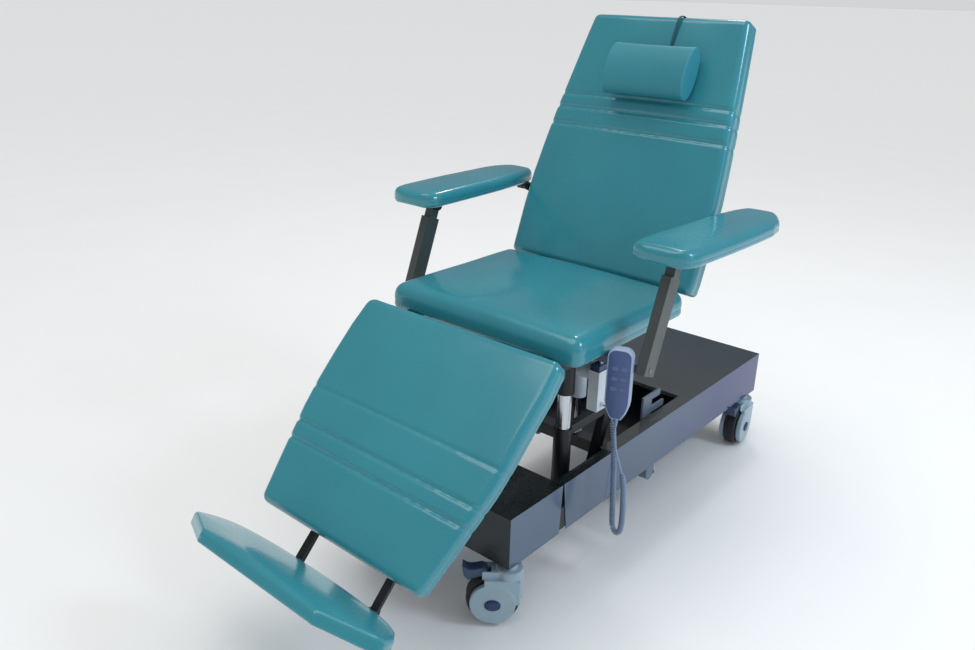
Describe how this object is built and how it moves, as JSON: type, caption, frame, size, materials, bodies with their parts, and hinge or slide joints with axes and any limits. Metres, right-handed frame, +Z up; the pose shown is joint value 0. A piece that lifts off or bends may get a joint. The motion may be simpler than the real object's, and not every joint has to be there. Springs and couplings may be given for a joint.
{
  "type": "phlebotomy chair",
  "caption": "Powered blood-draw chair on a wheeled sheet-metal base: reclining padded back, leg rest with sliding footrest, level armrests, hand control.",
  "frame": {"origin": "centre of the bounding box's underside, on the floor under the chair", "axes": "+Z up, the sitter faces -Y, +X to the sitter's left; the base is longest along Y"},
  "size_m": [0.916, 1.8019, 1.3324],
  "materials": {
    "base_sheet": "blue-grey satin paint",
    "dark_frame": "black satin paint",
    "bright_steel": "polished",
    "drive_housing": "light grey, fine grain",
    "grey_metal": "grey satin paint",
    "dark_board": "dark laminated board",
    "teal_vinyl": "glossy upholstery vinyl",
    "pillow_vinyl": "matt upholstery vinyl",
    "post_steel": "brushed, brown-grey",
    "black_bar": "black paint",
    "handset_shell": "blue-violet, fine grain",
    "key_plastic": "light keys",
    "cable": "light grey-blue jacket",
    "caster_shell": "light grey",
    "tyre": "dark tread on a dark hub",
    "pedal_plastic": "dark blue"
  },
  "bodies": {
    "base": {"front_box": "base_sheet", "side_panels": "base_sheet", "rear_cover": "base_sheet", "base_rails": "dark_frame", "cross_members": "dark_frame", "lift_columns": "dark_frame", "lift_rod": "bright_steel", "power_unit": "drive_housing", "under_tray": "dark_frame", "earth_posts": "grey_metal"},
    "seat": {"seat_rails": "dark_frame", "seat_crosses": "dark_frame", "column_rods": "bright_steel", "lift_motor": "drive_housing", "seat_board": "dark_board", "seat_cushion": "teal_vinyl", "control_box": "drive_housing", "arm_brackets": "grey_metal", "handset": "handset_shell", "handset_cord": "cable"},
    "back": {"back_rails": "dark_frame", "back_crosses": "dark_frame", "back_board": "dark_board", "back_cushion": "teal_vinyl", "head_pillow": "pillow_vinyl"},
    "leg": {"leg_rails": "dark_frame", "leg_crosses": "dark_frame", "leg_board": "dark_board", "leg_cushion": "teal_vinyl"},
    "foot": {"foot_bars": "black_bar", "foot_board": "dark_board", "foot_pad": "teal_vinyl"},
    "arm_post_left": {"arm_post_left": "post_steel"},
    "arm_post_right": {"arm_post_right": "post_steel"},
    "armrest_left": {"arm_board_left": "dark_board", "arm_pad_left": "teal_vinyl"},
    "armrest_right": {"arm_board_right": "dark_board", "arm_pad_right": "teal_vinyl"},
    "leg_motor": {"leg_motor": "drive_housing"},
    "leg_rod": {"leg_rod": "bright_steel"},
    "back_motor": {"back_motor": "drive_housing"},
    "back_rod": {"back_rod": "bright_steel"},
    "shell_front_left": {"shell_front_left": "caster_shell"},
    "wheel_front_left": {"wheel_front_left": "tyre"},
    "pedal_front_left": {"pedal_front_left": "pedal_plastic"},
    "shell_front_right": {"shell_front_right": "caster_shell"},
    "wheel_front_right": {"wheel_front_right": "tyre"},
    "pedal_front_right": {"pedal_front_right": "pedal_plastic"},
    "shell_rear_left": {"shell_rear_left": "caster_shell"},
    "wheel_rear_left": {"wheel_rear_left": "tyre"},
    "pedal_rear_left": {"pedal_rear_left": "pedal_plastic"},
    "shell_rear_right": {"shell_rear_right": "caster_shell"},
    "wheel_rear_right": {"wheel_rear_right": "tyre"},
    "pedal_rear_right": {"pedal_rear_right": "pedal_plastic"},
    "key_lift_up": {"key_lift_up": "key_plastic"},
    "key_lift_down": {"key_lift_down": "key_plastic"},
    "key_back_up": {"key_back_up": "key_plastic"},
    "key_back_down": {"key_back_down": "key_plastic"},
    "key_leg_up": {"key_leg_up": "key_plastic"},
    "key_leg_down": {"key_leg_down": "key_plastic"}
  },
  "joints": [
    {"name": "lift", "type": "slide", "parent": "base", "child": "seat", "axis": [0, 0, 1], "range_m": [-0.09, 0]},
    {"name": "recline", "type": "hinge", "parent": "seat", "child": "back", "pos_m": [0, 0.273, 0.602], "axis": [-1, 0, 0], "range_deg": [0, 55]},
    {"name": "leg_raise", "type": "hinge", "parent": "seat", "child": "leg", "pos_m": [0, -0.29, 0.602], "axis": [-1, 0, 0], "range_deg": [0, 45]},
    {"name": "foot_slide", "type": "slide", "parent": "leg", "child": "foot", "axis": [0, -0.7071, -0.7071], "range_m": [-0.045, 0.04]},
    {"name": "post_tilt_left", "type": "hinge", "parent": "seat", "child": "arm_post_left", "pos_m": [0.365, -0.109, 0.602], "axis": [-1, 0, 0], "range_deg": [0, 55]},
    {"name": "pad_level_left", "type": "hinge", "parent": "arm_post_left", "child": "armrest_left", "pos_m": [0.365, -0.02302, 0.83195], "axis": [-1, 0, 0], "range_deg": [-55, 0]},
    {"name": "post_tilt_right", "type": "hinge", "parent": "seat", "child": "arm_post_right", "pos_m": [-0.365, -0.109, 0.602], "axis": [-1, 0, 0], "range_deg": [0, 55]},
    {"name": "pad_level_right", "type": "hinge", "parent": "arm_post_right", "child": "armrest_right", "pos_m": [-0.365, -0.02302, 0.83195], "axis": [-1, 0, 0], "range_deg": [-55, 0]},
    {"name": "leg_drive_tilt", "type": "hinge", "parent": "seat", "child": "leg_motor", "pos_m": [0.09, 0.04, 0.512], "axis": [-1, 0, 0], "range_deg": [0, 9.53]},
    {"name": "leg_drive_stroke", "type": "slide", "parent": "leg_motor", "child": "leg_rod", "axis": [0, -0.995, -0.0996], "range_m": [0, 0.0767]},
    {"name": "back_drive_tilt", "type": "hinge", "parent": "seat", "child": "back_motor", "pos_m": [-0.09, -0.15, 0.545], "axis": [1, 0, 0], "range_deg": [0, 10.5]},
    {"name": "back_drive_stroke", "type": "slide", "parent": "back_motor", "child": "back_rod", "axis": [0, 0.9979, -0.0653], "range_m": [-0.0503, 0]},
    {"name": "swivel_front_left", "type": "hinge", "parent": "base", "child": "shell_front_left", "pos_m": [0.21, -0.366, 0.1], "axis": [0, 0, 1], "continuous": true},
    {"name": "spin_front_left", "type": "hinge", "parent": "shell_front_left", "child": "wheel_front_left", "pos_m": [0.18038, -0.38981, 0.0625], "axis": [0.6266, -0.7793, 0], "continuous": true},
    {"name": "brake_front_left", "type": "hinge", "parent": "shell_front_left", "child": "pedal_front_left", "pos_m": [0.1648, -0.40234, 0.136], "axis": [0.6266, -0.7793, 0], "range_deg": [0, 12]},
    {"name": "swivel_front_right", "type": "hinge", "parent": "base", "child": "shell_front_right", "pos_m": [-0.21, -0.366, 0.1], "axis": [0, 0, 1], "continuous": true},
    {"name": "spin_front_right", "type": "hinge", "parent": "shell_front_right", "child": "wheel_front_right", "pos_m": [-0.191, -0.39891, 0.0625], "axis": [0.866, 0.5, 0], "continuous": true},
    {"name": "brake_front_right", "type": "hinge", "parent": "shell_front_right", "child": "pedal_front_right", "pos_m": [-0.181, -0.41623, 0.136], "axis": [0.866, 0.5, 0], "range_deg": [0, 12]},
    {"name": "swivel_rear_left", "type": "hinge", "parent": "base", "child": "shell_rear_left", "pos_m": [0.21, 0.842, 0.1], "axis": [0, 0, 1], "continuous": true},
    {"name": "spin_rear_left", "type": "hinge", "parent": "shell_rear_left", "child": "wheel_rear_left", "pos_m": [0.21397, 0.80421, 0.0625], "axis": [0.9945, 0.1045, 0], "continuous": true},
    {"name": "brake_rear_left", "type": "hinge", "parent": "shell_rear_left", "child": "pedal_rear_left", "pos_m": [0.21606, 0.78432, 0.136], "axis": [0.9945, 0.1045, 0], "range_deg": [0, 12]},
    {"name": "swivel_rear_right", "type": "hinge", "parent": "base", "child": "shell_rear_right", "pos_m": [-0.21, 0.842, 0.1], "axis": [0, 0, 1], "continuous": true},
    {"name": "spin_rear_right", "type": "hinge", "parent": "shell_rear_right", "child": "wheel_rear_right", "pos_m": [-0.21529, 0.80437, 0.0625], "axis": [0.9903, -0.1392, 0], "continuous": true},
    {"name": "brake_rear_right", "type": "hinge", "parent": "shell_rear_right", "child": "pedal_rear_right", "pos_m": [-0.21807, 0.78456, 0.136], "axis": [0.9903, -0.1392, 0], "range_deg": [0, 12]},
    {"name": "press_lift_up", "type": "slide", "parent": "seat", "child": "key_lift_up", "axis": [-0.342, 0.9397, 0], "range_m": [0, 0.0012], "stiffness_N_per_m": 400},
    {"name": "press_lift_down", "type": "slide", "parent": "seat", "child": "key_lift_down", "axis": [-0.342, 0.9397, 0], "range_m": [0, 0.0012], "stiffness_N_per_m": 400},
    {"name": "press_back_up", "type": "slide", "parent": "seat", "child": "key_back_up", "axis": [-0.342, 0.9397, 0], "range_m": [0, 0.0012], "stiffness_N_per_m": 400},
    {"name": "press_back_down", "type": "slide", "parent": "seat", "child": "key_back_down", "axis": [-0.342, 0.9397, 0], "range_m": [0, 0.0012], "stiffness_N_per_m": 400},
    {"name": "press_leg_up", "type": "slide", "parent": "seat", "child": "key_leg_up", "axis": [-0.342, 0.9397, 0], "range_m": [0, 0.0012], "stiffness_N_per_m": 400},
    {"name": "press_leg_down", "type": "slide", "parent": "seat", "child": "key_leg_down", "axis": [-0.342, 0.9397, 0], "range_m": [0, 0.0012], "stiffness_N_per_m": 400}
  ],
  "couplings": [
    {"joint": "post_tilt_left", "follows": "recline", "ratio": 1},
    {"joint": "pad_level_left", "follows": "recline", "ratio": -1},
    {"joint": "post_tilt_right", "follows": "recline", "ratio": 1},
    {"joint": "pad_level_right", "follows": "recline", "ratio": -1},
    {"joint": "leg_drive_tilt", "follows": "leg_raise", "ratio": 0.2118},
    {"joint": "leg_drive_stroke", "follows": "leg_raise", "m_per_rad": 0.0976},
    {"joint": "back_drive_tilt", "follows": "recline", "ratio": 0.1909},
    {"joint": "back_drive_stroke", "follows": "recline", "m_per_rad": -0.0524}
  ]
}
